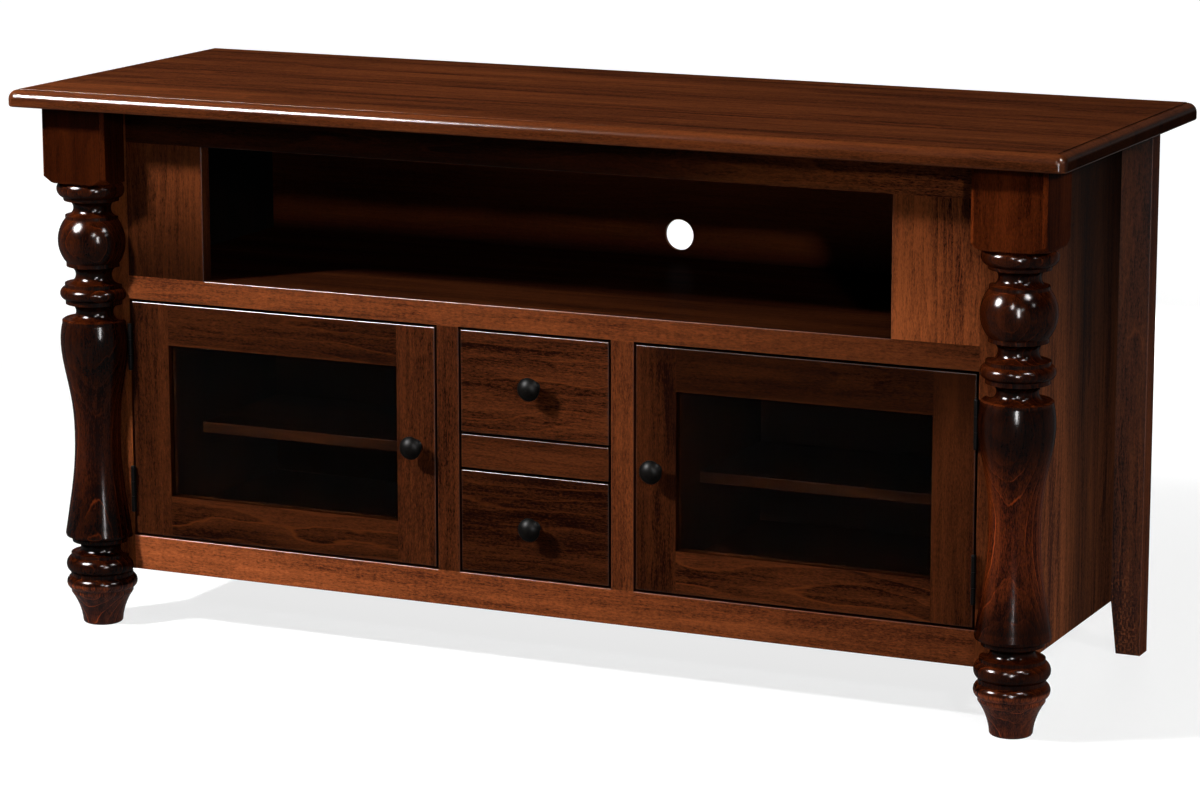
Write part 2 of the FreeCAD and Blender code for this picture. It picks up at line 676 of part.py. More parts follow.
def drawer_side(low, side):
    """A side of a drawer's box, let into the front and grooved for the bottom."""
    side_low = low + DRAWER_SIDE_RISE
    start = FRAME_BACK - DRAWER_JOINT
    board = box(side * BOX_IN, side * BOX_OUT, start, DRAWER_END,
                side_low, side_low + DRAWER_SIDE_HEIGHT)
    floor = side_low + DRAWER_BOTTOM_RISE
    return board.cut(box(side * BOX_IN, side * (BOX_IN + DRAWER_GROOVE), start, DRAWER_END,
                         floor, floor + DRAWER_BOTTOM))


def drawer_bottom(low):
    floor = low + DRAWER_SIDE_RISE + DRAWER_BOTTOM_RISE
    reach = BOX_IN + DRAWER_GROOVE
    sheet = box(-reach, reach, FRAME_BACK, DRAWER_END, floor, floor + DRAWER_BOTTOM)
    tongue = box(-BOX_IN, BOX_IN, FRAME_BACK - DRAWER_GROOVE, FRAME_BACK, floor, floor + DRAWER_BOTTOM)
    return sheet.fuse(tongue).removeSplitter()


def drawer_back(low):
    """The back of a drawer's box, standing on its bottom."""
    side_low = low + DRAWER_SIDE_RISE
    return box(-BOX_IN, BOX_IN, DRAWER_END - DRAWER_SIDE, DRAWER_END,
               side_low + DRAWER_BOTTOM_RISE + DRAWER_BOTTOM, side_low + DRAWER_SIDE_HEIGHT)


def slide_middle(low):
    return low + DRAWER_SIDE_RISE + DRAWER_SIDE_HEIGHT / 2


def slide_channel(low, side):
    """The fixed member of a slide: a channel on the partition, open towards the drawer."""
    middle = slide_middle(low)
    half = SLIDE_HEIGHT / 2
    wall = PARTITION_IN
    open_edge = wall - SLIDE_DEPTH
    front = FRAME_BACK + SLIDE_BEHIND_FRAME
    bar = box(side * wall, side * open_edge, front, DRAWER_END, middle - half, middle + half)
    room = half - SLIDE_METAL
    return bar.cut(box(side * (wall - SLIDE_METAL), side * open_edge, front, DRAWER_END,
                       middle - room, middle + room))


def slide_bar(low, side):
    """The moving member: a shallow channel on the drawer's side, inside the fixed one."""
    middle = slide_middle(low)
    half = SLIDE_HEIGHT / 2 - SLIDE_METAL - SLIDE_PLAY
    outer = BOX_OUT + SLIDE_BAR_DEPTH
    bar = box(side * BOX_OUT, side * outer, FRAME_BACK, DRAWER_END, middle - half, middle + half)
    room = half - SLIDE_METAL
    return bar.cut(box(side * (BOX_OUT + SLIDE_METAL), side * outer, FRAME_BACK, DRAWER_END,
                       middle - room, middle + room))


def case_nodes():
    bay = ((-BAY_X, BAY_X),)
    whole = ((-STILE_X, STILE_X),)
    nodes = {
        "top_panel": top_panel(),
        "back_panel": back_panel(),
        "bottom_panel": level_panel(SILL),
        "bay_deck": level_panel(MID_RAIL_TOP),
        "top_rail": frame_rail(TOP_RAIL_BOTTOM, TOP_BOTTOM, under=bay),
        "mid_rail": frame_rail(MID_RAIL_BOTTOM, MID_RAIL_TOP, over=bay, under=lower_openings()),
        "bottom_rail": frame_rail(CASE_BOTTOM, SILL, over=lower_openings(), under=whole),
        "drawer_divider": drawer_divider(),
        "shelf_pins": shelf_pins(),
        "door_catches": Part.makeCompound([door_catch(side) for side in SIDES.values()]),
        "top_cleats": Part.makeCompound([top_cleat(side) for side in SIDES.values()]),
    }
    for name, side in SIDES.items():
        nodes["front_leg_" + name] = front_leg(side)
        nodes["rear_leg_" + name] = rear_leg(side)
        nodes["side_panel_" + name] = side_panel(side)
        nodes["corner_stile_" + name] = corner_stile(side)
        nodes["bay_stile_" + name] = bay_stile(side)
        nodes["mullion_" + name] = mullion(side)
        nodes["partition_" + name] = partition(side)
        nodes["shelf_" + name] = shelf(side)
    return nodes


def hinge_nodes():
    places = [(side, low) for side in SIDES.values() for low in hinge_lows()]
    return {
        "hinge_frame_leaves": Part.makeCompound([hinge_leaf(side, low, False) for side, low in places]),
        "hinge_pins": Part.makeCompound([hinge_pin(side, low) for side, low in places]),
    }


def door_nodes(name, side):
    door = "door_" + name
    leaves = [hinge_leaf(side, low, True) for low in hinge_lows()]
    return {
        door + "_hinge_stile": door_stile(side, DOOR_OUT, -1),
        door + "_latch_stile": door_stile(side, DOOR_IN, 1, hole=True),
        door + "_top_rail": door_rail(side, True),
        door + "_bottom_rail": door_rail(side, False),
        door + "_glass": door_glass(side),
        door + "_glass_stops": glass_stops(side),
        door + "_hinge_leaves": Part.makeCompound(leaves),
        door + "_knob": knob(side * knob_x(), door_middle()),
    }


def drawer_nodes(name, low):
    bars = [slide_bar(low, side) for side in SIDES.values()]
    nodes = {
        name + "_front": drawer_front(low),
        name + "_back": drawer_back(low),
        name + "_bottom": drawer_bottom(low),
        name + "_slide_bars": Part.makeCompound(bars),
        name + "_knob": knob(0, low + DRAWER_FACE / 2),
    }
    for side_name, side in SIDES.items():
        nodes[name + "_side_" + side_name] = drawer_side(low, side)
    return nodes


def slide_channels():
    places = [(low, side) for low in DRAWER_LOWS.values() for side in SIDES.values()]
    return Part.makeCompound([slide_channel(low, side) for low, side in places])


def all_nodes():
    nodes = case_nodes()
    nodes.update(hinge_nodes())
    nodes["slide_channels"] = slide_channels()
    for name, side in SIDES.items():
        nodes.update(door_nodes(name, side))
    for name, low in DRAWER_LOWS.items():
        nodes.update(drawer_nodes(name, low))
    return nodes


os.makedirs("parts", exist_ok=True)
for node_name, node_shape in all_nodes().items():
    node_shape.exportStep("parts/" + node_name + ".step")
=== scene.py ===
import math
import random

import bpy
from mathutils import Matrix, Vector


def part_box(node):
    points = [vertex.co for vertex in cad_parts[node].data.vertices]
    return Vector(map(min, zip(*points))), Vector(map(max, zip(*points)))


# A dark stained maple television cabinet on turned legs. Metres, +Z up, the front faces -Y.

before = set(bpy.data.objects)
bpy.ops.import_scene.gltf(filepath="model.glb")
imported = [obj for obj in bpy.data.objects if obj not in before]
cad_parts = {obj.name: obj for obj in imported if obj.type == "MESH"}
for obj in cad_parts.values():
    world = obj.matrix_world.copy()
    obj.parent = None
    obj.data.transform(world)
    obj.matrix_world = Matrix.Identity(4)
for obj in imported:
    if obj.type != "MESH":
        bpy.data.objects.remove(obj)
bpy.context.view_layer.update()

# Camera, as the photograph was taken: from the right of the front and above the top
CAMERA_PLACE = (2.305, -4.923, 1.458)
CAMERA_TURN = math.radians(25.006)      # to the left of straight ahead
CAMERA_DROP = math.radians(11.506)      # below the horizon
CAMERA_ROLL = math.radians(0.05)
IMAGE_WIDTH = 1200
FOCAL_PIXELS = 4038.0
SENSOR = 36.0                           # millimetres

# Lamps: name, place, the point they face, half width and half height, power in watts, and
# what sees them: everything, only gloss or only matt surfaces
LAMPS = [
    ("key", (-1.86, -1.84, 2.26), (-0.10, -0.15, 0.35), (0.15, 0.15), 172.0, "all"),
    ("front_right", (2.10, -2.75, 1.55), (0.10, -0.15, 0.45), (0.12, 0.12), 30.0, "all"),
    ("side_right", (2.75, -1.05, 1.75), (0.60, 0.00, 0.45), (0.16, 0.16), 30.0, "all"),
    ("key_softbox", (-1.90, -1.95, 2.20), (-0.10, -0.15, 0.35), (0.60, 0.60), 2300.0, "gloss"),
    ("right_softbox", (1.73, -0.85, 2.24), (0.10, -0.15, 0.45), (0.26, 0.26), 260.0, "gloss"),
    ("front_softbox", (0.60, -2.15, 1.50), (-0.10, -0.15, 0.45), (0.14, 0.26), 130.0, "gloss"),
    ("strip_softbox", (1.30, -2.15, 0.85), (0.00, -0.15, 0.40), (0.12, 0.50), 250.0, "gloss"),
    ("back_fill", (0.00, 2.80, 0.62), (0.00, 0.25, 0.40), (0.35, 0.35), 42.0, "matt"),
]
AMBIENT = 0.055                         # what the world gives to diffuse light
BAND_WHITE = 1.0                        # the pale wall that ends the floor, low over the horizon
BAND_LOW, BAND_HIGH = 0.10, 0.42        # sines of the heights between which it fades to the ceiling

# Floor
FLOOR_HALF = 40.0
FLOOR_WHITE = 0.26
FLOOR_BOUNCE = 0.14                     # what the floor throws back on the cabinet
FLOOR_GLOW_NEAR = 0.77                  # fills the floor near the cabinet, where its shadow shows
FLOOR_GLOW_FAR = 1.0
FLOOR_NEAR, FLOOR_FAR = 1.3, 4.0

# Wood: colours are linear, and each board has its own tone
HUE = (1.0, 0.250, 0.078)               # stained maple, relative to its red
CLEAR_HUE = (1.0, 0.690, 0.420)         # maple under clear lacquer, inside the drawers
SIDE_HUE = (1.0, 0.285, 0.100)          # the veneer of the side panels, less red partly to paint their sheen
DARK_SHARE = (0.16, 0.15, 0.28)         # the darkest wood, as shares of tone and hue
LIGHT_SHARE = (2.05, 2.10, 1.95)        # the palest
LINE_SHARE = (2.60, 2.50, 2.00)         # the pale edge of each growth ring
MIDDLE_SHADE = 0.47                     # where most wood lies between the darkest and the palest

# Growth rings
RING_SPACING = 0.0074
RING_LINE = 0.15                        # share of a ring that its pale line takes
RING_SHADE = 0.50                       # how much a ring darkens from its line to the next
FADE_SCALE = (5.0, 30.0, 30.0)          # of the noise by which the lines come and go
FADE_SPAN = (0.36, 0.62)
WANDER = ((1.9, 8.0, 8.0), 2.0, 0.070)  # what bends the rings: a noise's scale, detail and reach
RIPPLE = ((14.0, 70.0, 70.0), 3.0, 0.0045)

# Grain: each layer of noise has its scale along and across the grain, detail, roughness and strength
SHADE_LAYERS = (
    ((1.8, 17.0, 17.0), 3.0, 0.50, 1.75),       # clouds
    ((5.0, 120.0, 120.0), 3.0, 0.60, 0.95),     # streaks
    ((38.0, 480.0, 480.0), 3.0, 0.65, 0.70),    # threads
    ((190.0, 700.0, 700.0), 3.0, 0.70, 1.50),   # glints
    ((40.0, 1700.0, 1700.0), 1.0, 0.50, 0.35),  # fibres, which the bump follows too
)
CURL_LAYERS = (                         # silky bands across the grain, and their mottling
    ((85.0, 26.0, 26.0), 3.0, 0.60, 1.0),
    ((190.0, 260.0, 260.0), 3.0, 0.60, 2.0),
)
PORE_SCALE = (130.0, 900.0, 900.0)
PORE_SPAN = (0.54, 0.66)
PORE_SHADE, PORE_HEIGHT = -0.12, -0.6
FIBRE_HEIGHT = 0.5

# How boards were cut from their trees
PITH_DEPTH = 0.055                      # how far behind the face the middle of the tree lay
PITH_SPREAD = (0.6, 1.5)                # least and most of that depth that a board has
PITH_ASIDE = 0.03                       # how far it lay to either side
SEED_REACH = 40.0                       # sets the noise of two boards apart
STAVE_SEEDS, STAVE_REACH = 50.0, 30.0   # the same for the glued staves of one board
STAVE_SHADE = 0.16                      # most that the shade of two staves differs by
GRAIN_TURN = {                          # turns a board so that its grain runs along local X
    "x": (0.0, 0.0, 0.0),
    "y": (0.0, 0.0, math.pi / 2),
    "z": (0.0, math.pi / 2, 0.0),
}
LOCAL_Y = {"x": "y", "y": "x", "z": "y"}    # the direction of a turned board's local Y

# Finish
WOOD_ROUGH, WOOD_ROUGH_CHANGE = 0.48, -0.15
WOOD_BUMP = (0.10, 0.0004)              # strength and distance
FLAT_NORMAL, EDGE_NORMAL = 0.995, 0.93  # largest component of the normal on a face and on an edge
EDGE_SHARE, EDGE_LIFT = 0.30, 1.15      # how much paler wood shows on edges, and its tone: partly rub-through, partly painted highlight
FACING = (0.6, 0.9)                     # cosines between which a face starts to look one way
EVEN = (1.0, 1.0, -1.0)                 # no change of tone along the grain
DOOR_EDGE_COAT = 0.24                   # gloss of the rounded edges of doors and drawer fronts
INSIDE_STAVE = 0.11                     # width of the glued staves of the panels inside

# Directions of faces, and how much darker some of them are made: painted shade, except where said
FRONT = (0.0, -1.0, 0.0)
ASIDE = {"left": (-1.0, 0.0, 0.0), "right": (1.0, 0.0, 0.0)}
INWARD = {"left": ASIDE["right"], "right": ASIDE["left"]}
PAINTED_GAP_SHADE = 0.30                        # painted shade in the gaps around doors and drawers
GAP_SHADE_FACES = tuple((way, PAINTED_GAP_SHADE) for way in (*ASIDE.values(), (0.0, 0.0, -1.0), (0.0, 0.0, 1.0)))
# painted shade on the top's front edge
TOP_FRONT_SHARE = 0.72
TOP_END_SHARE = 0.16                    # partly end grain, which takes more stain, partly painted shade
# painted shade on the inner faces of the side panels
PAINTED_INSIDE_SHADE = 0.06

# Glass
GLASS_TINT = (0.50, 0.52, 0.52, 1.0)
GLASS_FACE_TINT = (0.72, 0.74, 0.74, 1.0)   # of one face, for the light that the pane lets in
GLASS_IOR = 1.05                        # low, because the panes hardly reflect
GLASS_WAVE = (6.0, 6.0, 6.0)            # a scale of noise, as the others below
GLASS_BUMP = (0.02, 0.001)

# Hardware: the colours between which a surface is mottled, its roughness and its bump
BLACK_COLOURS = (0.0012, 0.0010, 0.0009, 1.0), (0.0040, 0.0030, 0.0024, 1.0)
BLACK_CLOUD, BLACK_GRIT = (160.0, 160.0, 160.0), (1500.0, 1500.0, 1500.0)
BLACK_ROUGH, BLACK_ROUGH_CHANGE = 0.30, 0.18
BLACK_BUMP, BLACK_GLOSS = (0.10, 0.0002), 0.009
STEEL_COLOURS = (0.42, 0.43, 0.44, 1.0), (0.62, 0.63, 0.63, 1.0)
STEEL_BRUSH, STEEL_CLOUD = (900.0, 12.0, 900.0), (30.0, 30.0, 30.0)
STEEL_ROUGH, STEEL_ROUGH_CHANGE = 0.25, 0.20
STEEL_BUMP = (0.10, 0.0001)
PLASTIC_COLOURS = (0.020, 0.015, 0.012, 1.0), (0.040, 0.032, 0.026, 1.0)
PLASTIC_GRIT = (1200.0, 1200.0, 1200.0)
PLASTIC_ROUGH, PLASTIC_ROUGH_CHANGE = 0.45, 0.2
PLASTIC_BUMP, PLASTIC_GLOSS = (0.2, 0.0002), 0.02

# Turned legs: the square block at the top, the balls, the long vase and the foot
# the two legs' tones differ to paint the different light that falls on them
LEG_TONE = {"left": 0.0088, "right": 0.0098}
LEG_DARK, LEG_LIGHT = (0.22, 0.10, 0.08), (3.3, 2.45, 1.6)
LEG_LINE = (14.0, 9.5, 5.5)
LEG_LINE_POWER = 1.6
LEG_CONTRAST, BLOCK_CONTRAST = 1.25, 0.80
LEG_MIDDLE = 0.3                        # height on a leg's axis from which its figure is drawn
LEG_PITH = (0.0, 0.075, 0.01)
LEG_FIGURE, LEG_CURL = 0.45, 0.10
LEG_ROUGH, LEG_ROUGH_CHANGE = 0.30, -0.08
LEG_BUMP = (0.06, 0.0003)
LEG_COAT, BLOCK_COAT, FOOT_COAT = 0.055, 0.008, 0.14
LEG_COAT_ROUGH = 0.14
COVE_RADIUS, BEAD_RADIUS = 0.030, 0.048     # between which the shade goes from coves' to beads'
COVE_SHADE = 0.55                       # share of the beads' shade
SOFT = 0.002                            # half the height over which one finish turns into the next
BLOCK_FOOT = 0.631                      # height of the lower end of a leg's square block
BLOCK_LIFT = {"left": 1.15, "right": 2.4}   # paler there than on the balls, and unequal on the two legs as painted light
BLOCK_SIDE_SHADE = 0.55                       # painted shade: tone of the block's outer side
BLOCK_FACING = (0.8, 0.95)
# painted highlight on the block's chamfered corners
CHAMFER_HIGHLIGHT = 2.5
VASE_LOW, VASE_HIGH = 0.140, 0.432      # heights between which the long vase lies
VASE_MIDDLE = 0.262                     # where it is palest
VASE_PALE, VASE_DARK = 0.015, 0.130     # distances from there where it starts to darken, and is dark
VASE_LIFT = {"left": (2.6, 0.70), "right": (6.2, 0.45)}     # its tone at the palest and the darkest
# painted light and reflection of the floor on the foot
FOOT_TOP, FOOT_PAINTED_LIGHT = 0.062, 7.0
TOP_FACE_LIFT = 1.1                     # more on the upper halves of the beads, where the light strikes
TOP_FACING = (0.2, 0.8)


class Tree:
    """Adds and joins the nodes of one tree."""

    def __init__(self, tree):
        self.tree = tree
        tree.nodes.clear()

    def put(self, socket, value):
        if isinstance(value, bpy.types.NodeSocket):
            self.tree.links.new(value, socket)
        elif value is not None:
            socket.default_value = value

    def put_all(self, sockets, values):
        for socket, value in zip(sockets, values):
            self.put(socket, value)

    def add(self, kind, inputs=None, **settings):
        made = self.tree.nodes.new(kind)
        for name, value in settings.items():
            setattr(made, name, value)
        for name, value in (inputs or {}).items():
            self.put(made.inputs[name], value)
        return made

    def math(self, operation, a, b=None, c=None, clamp=False):
        made = self.add("ShaderNodeMath", operation=operation, use_clamp=clamp)
        self.put_all(made.inputs, (a, b, c))
        return made.outputs[0]

    def vector(self, operation, a, b=None):
        made = self.add("ShaderNodeVectorMath", operation=operation)
        self.put_all(made.inputs, (a, b))
        return made.outputs["Value" if operation in ("LENGTH", "DOT_PRODUCT") else "Vector"]

    def scaled(self, colour, factor):
        made = self.add("ShaderNodeVectorMath", {"Scale": factor}, operation="SCALE")
        self.put(made.inputs[0], colour)
        return made.outputs[0]

    def part(self, vector, axis):
        return self.add("ShaderNodeSeparateXYZ", {"Vector": vector}).outputs["xyz".index(axis)]

    def noise(self, at, scale, detail=2.0, rough=0.5):
        """The outputs of a noise with its own scale along each axis."""
        stretched = self.vector("MULTIPLY", at, scale)
        return self.add("ShaderNodeTexNoise", {"Vector": stretched, "Scale": 1.0, "Detail": detail,
                                               "Roughness": rough}).outputs

    def ramp(self, value, low, high, to_low=0.0, to_high=1.0):
        made = self.add("ShaderNodeMapRange", {"Value": value, "From Min": low, "From Max": high,
                                               "To Min": to_low, "To Max": to_high},
                        interpolation_type="SMOOTHSTEP")
        return made.outputs["Result"]

    def blend(self, share, a, b):
        made = self.add("ShaderNodeMix", data_type="RGBA")
        self.put_all((made.inputs[0], made.inputs[6], made.inputs[7]), (share, a, b))
        return made.outputs[2]

    def bump(self, height, strength, distance):
        return self.add("ShaderNodeBump", {"Height": height, "Strength": strength,
                                           "Distance": distance}).outputs[0]

    def place(self):
        return self.add("ShaderNodeTexCoord").outputs["Object"]

    def normal(self):
        return self.add("ShaderNodeTexCoord").outputs["Normal"]

    def facing(self, way, low, high, to_low=0.0, to_high=1.0):
        return self.ramp(self.vector("DOT_PRODUCT", self.normal(), way), low, high, to_low, to_high)

    def mixed(self, share, a, b):
        made = self.add("ShaderNodeMixShader")
        self.put_all(made.inputs, (share, a.outputs[0], b.outputs[0]))
        return made

    def end(self, shader, kind="ShaderNodeOutputMaterial"):
        self.put(self.add(kind).inputs["Surface"], shader.outputs[0])

    def surface(self, inputs):
        self.end(self.add("ShaderNodeBsdfPrincipled", inputs))


def material(name):
    made = bpy.data.materials.new(name)
    made.use_nodes = True
    return made, Tree(made.node_tree)


def tinted(share, tone, hue=HUE):
    return tuple(s * h * tone for s, h in zip(share, hue)) + (1.0,)


def bend(t, at, scale, detail, reach):
    """A shift across the grain that changes along it."""
    drawn = t.noise(at, scale, detail)["Color"]
    return t.vector("MULTIPLY", t.vector("SUBTRACT", drawn, (0.5, 0.5, 0.5)), (0.0, reach, reach))


def rings(t, board, at, pith):
    """How far through its growth ring a place lies, and the pale lines between the rings."""
    bends = t.vector("ADD", bend(t, at, *WANDER), bend(t, at, *RIPPLE))
    bent = t.vector("ADD", t.vector("SUBTRACT", board, pith), bends)
    from_pith = t.vector("LENGTH", t.vector("MULTIPLY", bent, (0.0, 1.0, 1.0)))
    year = t.math("FRACT", t.math("DIVIDE", from_pith, RING_SPACING))
    from_middle = t.math("ABSOLUTE", t.math("SUBTRACT", year, 0.5))
    line = t.ramp(from_middle, 0.5 - RING_LINE / 2, 0.5)
    fade = t.ramp(t.noise(at, FADE_SCALE, 2.0)["Fac"], *FADE_SPAN)
    return year, t.math("MULTIPLY", line, fade)


def grain_group():
    """The figure of maple. Its grain runs along X, and the middle of the tree is at the pith."""
    group = bpy.data.node_groups.new("maple_grain", "ShaderNodeTree")
    for name in ("Board", "Seed", "Pith"):
        group.interface.new_socket(name, in_out="INPUT", socket_type="NodeSocketVector")
    for name in ("Figure", "Curl"):
        group.interface.new_socket(name, in_out="INPUT", socket_type="NodeSocketFloat")
    for name in ("Shade", "Line", "Height"):
        group.interface.new_socket(name, in_out="OUTPUT", socket_type="NodeSocketFloat")
    t = Tree(group)
    given = t.add("NodeGroupInput").outputs
    at = t.vector("ADD", given["Board"], given["Seed"])
    year, line = rings(t, given["Board"], at, given["Pith"])
    shade = MIDDLE_SHADE
    for scale, detail, rough, strength in SHADE_LAYERS:
        layer = t.noise(at, scale, detail, rough)["Fac"]
        shade = t.math("MULTIPLY_ADD", t.math("SUBTRACT", layer, 0.5), strength, shade)
    fibres = layer
    ring_shade = t.math("MULTIPLY", given["Figure"], RING_SHADE)
    shade = t.math("MULTIPLY_ADD", t.math("SUBTRACT", 0.5, year), ring_shade, shade)
    for scale, detail, rough, strength in CURL_LAYERS:
        band = t.noise(at, scale, detail, rough)["Fac"]
        curl = t.math("MULTIPLY", given["Curl"], strength)
        shade = t.math("MULTIPLY_ADD", t.math("SUBTRACT", band, 0.5), curl, shade)
    pores = t.ramp(t.noise(at, PORE_SCALE, 2.0)["Fac"], *PORE_SPAN)
    shade = t.math("MULTIPLY_ADD", pores, PORE_SHADE, shade, clamp=True)
    line = t.math("MULTIPLY", line, given["Figure"], clamp=True)
    height = t.math("MULTIPLY_ADD", fibres, FIBRE_HEIGHT, t.math("MULTIPLY", pores, PORE_HEIGHT))
    t.put_all(t.add("NodeGroupOutput").inputs, (shade, line, height))
    return group


GRAIN = grain_group()


def drawn_seed(draw):
    return tuple(draw.uniform(-SEED_REACH, SEED_REACH) for _ in range(3))


def turned_board(t, centred, grain):
    return t.add("ShaderNodeMapping", {"Vector": centred, "Rotation": GRAIN_TURN[grain]}).outputs[0]


def figured(t, board, seed, pith, figure, curl):
    """The outputs of the figure for one board."""
    inputs = {"Board": board, "Seed": seed, "Pith": pith, "Figure": figure, "Curl": curl}
    return t.add("ShaderNodeGroup", inputs, node_tree=GRAIN).outputs


def edge_mask(t):
    """1 on rounded edges and 0 on a board's flat faces, from the normal in its own axes."""
    parts = t.add("ShaderNodeSeparateXYZ", {"Vector": t.vector("ABSOLUTE", t.normal())}).outputs
    largest = t.math("MAXIMUM", t.math("MAXIMUM", parts[0], parts[1]), parts[2])
    return t.ramp(largest, FLAT_NORMAL, EDGE_NORMAL)


def staves(t, board, axis, width, seed):
    """Gives each glued stave its own middle of the tree, its own figure and its own tone."""
    index = t.math("FLOOR", t.math("DIVIDE", t.part(board, axis), width))
    pick = t.add("ShaderNodeTexWhiteNoise", {"W": t.math("ADD", index, seed)}, noise_dimensions="1D")
    centre = t.math("MULTIPLY", t.math("ADD", index, 0.5), -width)
    aside = t.math("MULTIPLY_ADD", pick.outputs["Value"], width, t.math("ADD", centre, -width / 2))
    along = t.math("MULTIPLY", pick.outputs["Value"], STAVE_REACH)
    shift = t.add("ShaderNodeCombineXYZ", {"X": along, axis.upper(): aside}).outputs[0]
    return t.vector("ADD", board, shift), pick.outputs["Value"]


def tone_changes(t, along, half, drift, zone, faces):
    """What the tone is multiplied by along the grain, in the zone and on some faces, which paint light
    and shade on some boards.
    """
    low, high, start = drift
    change = t.ramp(along, half * start, half, low, high)
    if zone:
        way, axis, *span = zone
        in_zone = t.math("SUBTRACT", t.ramp(t.part(t.place(), axis), *span), 1.0)
        in_zone = t.math("MULTIPLY_ADD", in_zone, t.facing(way, *FACING), 1.0)
        change = t.math("MULTIPLY", change, in_zone)
    for way, share in faces:
        change = t.math("MULTIPLY", change, t.facing(way, *FACING, 1.0, share))
    return change


def wood(name, grain, tone, thick="y", figure=0.4, curl=0.15, contrast=1.0, drift=EVEN, faces=(),
         zone=None, flat_coat=0.008, edge_coat=0.15, coat_rough=0.27, stave=None, lateral=0.0,
         hue=HUE):
    """Stained and lacquered maple for one board.

    thick is the board's thin direction, stave the width of its glued staves and lateral how far
    aside the middle of the tree lay. drift is the tone at the two ends of the grain, and the
    share of the half length where it starts to change. faces gives directions, with the tone of
    the faces that look that way. zone is one such direction, an axis, two places on it, and the
    tones there.
    """
    made, t = material("wood_" + name)
    draw = random.Random(name)
    seed = drawn_seed(draw)
    low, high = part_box(name)
    middle = tuple((a + b) / 2 for a, b in zip(low, high))
    board = turned_board(t, t.vector("SUBTRACT", t.place(), middle), grain)
    depth = PITH_DEPTH * draw.uniform(*PITH_SPREAD)
    aside = lateral + draw.uniform(-PITH_ASIDE, PITH_ASIDE)
    y_is_thick = LOCAL_Y[grain] == thick
    pith = (0.0, depth, aside) if y_is_thick else (0.0, aside, depth)
    half = (high["xyz".index(grain)] - low["xyz".index(grain)]) / 2
    change = tone_changes(t, t.part(board, "x"), half, drift, zone, faces)
    if stave:
        across = "z" if y_is_thick else "y"
        board, pick = staves(t, board, across, stave, draw.uniform(0, STAVE_SEEDS))
    drawn = figured(t, board, seed, pith, figure, curl)
    shade = drawn["Shade"]
    if stave:
        shade = t.math("ADD", shade, t.math("MULTIPLY_ADD", pick, STAVE_SHADE, -STAVE_SHADE / 2))
    shade = t.math("MULTIPLY_ADD", shade, contrast, MIDDLE_SHADE * (1.0 - contrast))
    colour = t.blend(shade, tinted(DARK_SHARE, tone, hue), tinted(LIGHT_SHARE, tone, hue))
    line = t.math("MULTIPLY", drawn["Line"], contrast)
    colour = t.blend(line, colour, tinted(LINE_SHARE, tone, hue))
    # paler rounded edges: partly stain worn through, partly a painted highlight
    edge = edge_mask(t)
    pale = tinted(LIGHT_SHARE, tone * EDGE_LIFT, hue)
    colour = t.blend(t.math("MULTIPLY", edge, EDGE_SHARE), colour, pale)
    bump = t.bump(drawn["Height"], *WOOD_BUMP)
    t.surface({
        "Base Color": t.scaled(colour, change),
        "Roughness": t.math("MULTIPLY_ADD", drawn["Height"], WOOD_ROUGH_CHANGE, WOOD_ROUGH),
        "Normal": bump,
        "Specular IOR Level": 0.0,
        "Coat Weight": t.math("MULTIPLY_ADD", edge, edge_coat - flat_coat, flat_coat),
        "Coat Roughness": coat_rough,
        "Coat Normal": bump,
    })
    return made


def leg_zones(t, height):
    """Where the square block, the long vase and the foot of a turned leg are."""
    block = t.ramp(height, BLOCK_FOOT - SOFT, BLOCK_FOOT + SOFT)
    vase = t.math("MULTIPLY", t.ramp(height, VASE_LOW - SOFT, VASE_LOW + SOFT),
                  t.ramp(height, VASE_HIGH + SOFT, VASE_HIGH - SOFT))
    foot = t.ramp(height, FOOT_TOP, FOOT_TOP - 2 * SOFT)
    return block, vase, foot


def leg_lift(t, side, height, block, vase, foot):
    """What the tone of a turned leg is multiplied by: painted light and shade on the block, its
    chamfers, the foot and the beads' tops.
    """
    lift = t.math("MULTIPLY_ADD", foot, FOOT_PAINTED_LIGHT - 1.0, 1.0)
    from_middle = t.math("ABSOLUTE", t.math("SUBTRACT", height, VASE_MIDDLE))
    on_vase = t.math("SUBTRACT", t.ramp(from_middle, VASE_PALE, VASE_DARK, *VASE_LIFT[side]), 1.0)
    lift = t.math("MULTIPLY_ADD", on_vase, vase, lift)
    lift = t.math("MULTIPLY_ADD", block, BLOCK_LIFT[side] - 1.0, lift)
    lift = t.math("MULTIPLY_ADD", t.math("MULTIPLY", edge_mask(t), block), CHAMFER_HIGHLIGHT, lift)
    upward = t.ramp(t.part(t.normal(), "z"), *TOP_FACING)
    lift = t.math("MULTIPLY_ADD", upward, TOP_FACE_LIFT, lift)
    outer = t.math("MULTIPLY", t.facing(ASIDE[side], *BLOCK_FACING), block)
    return t.math("MULTIPLY", lift, t.math("MULTIPLY_ADD", outer, BLOCK_SIDE_SHADE - 1.0, 1.0))


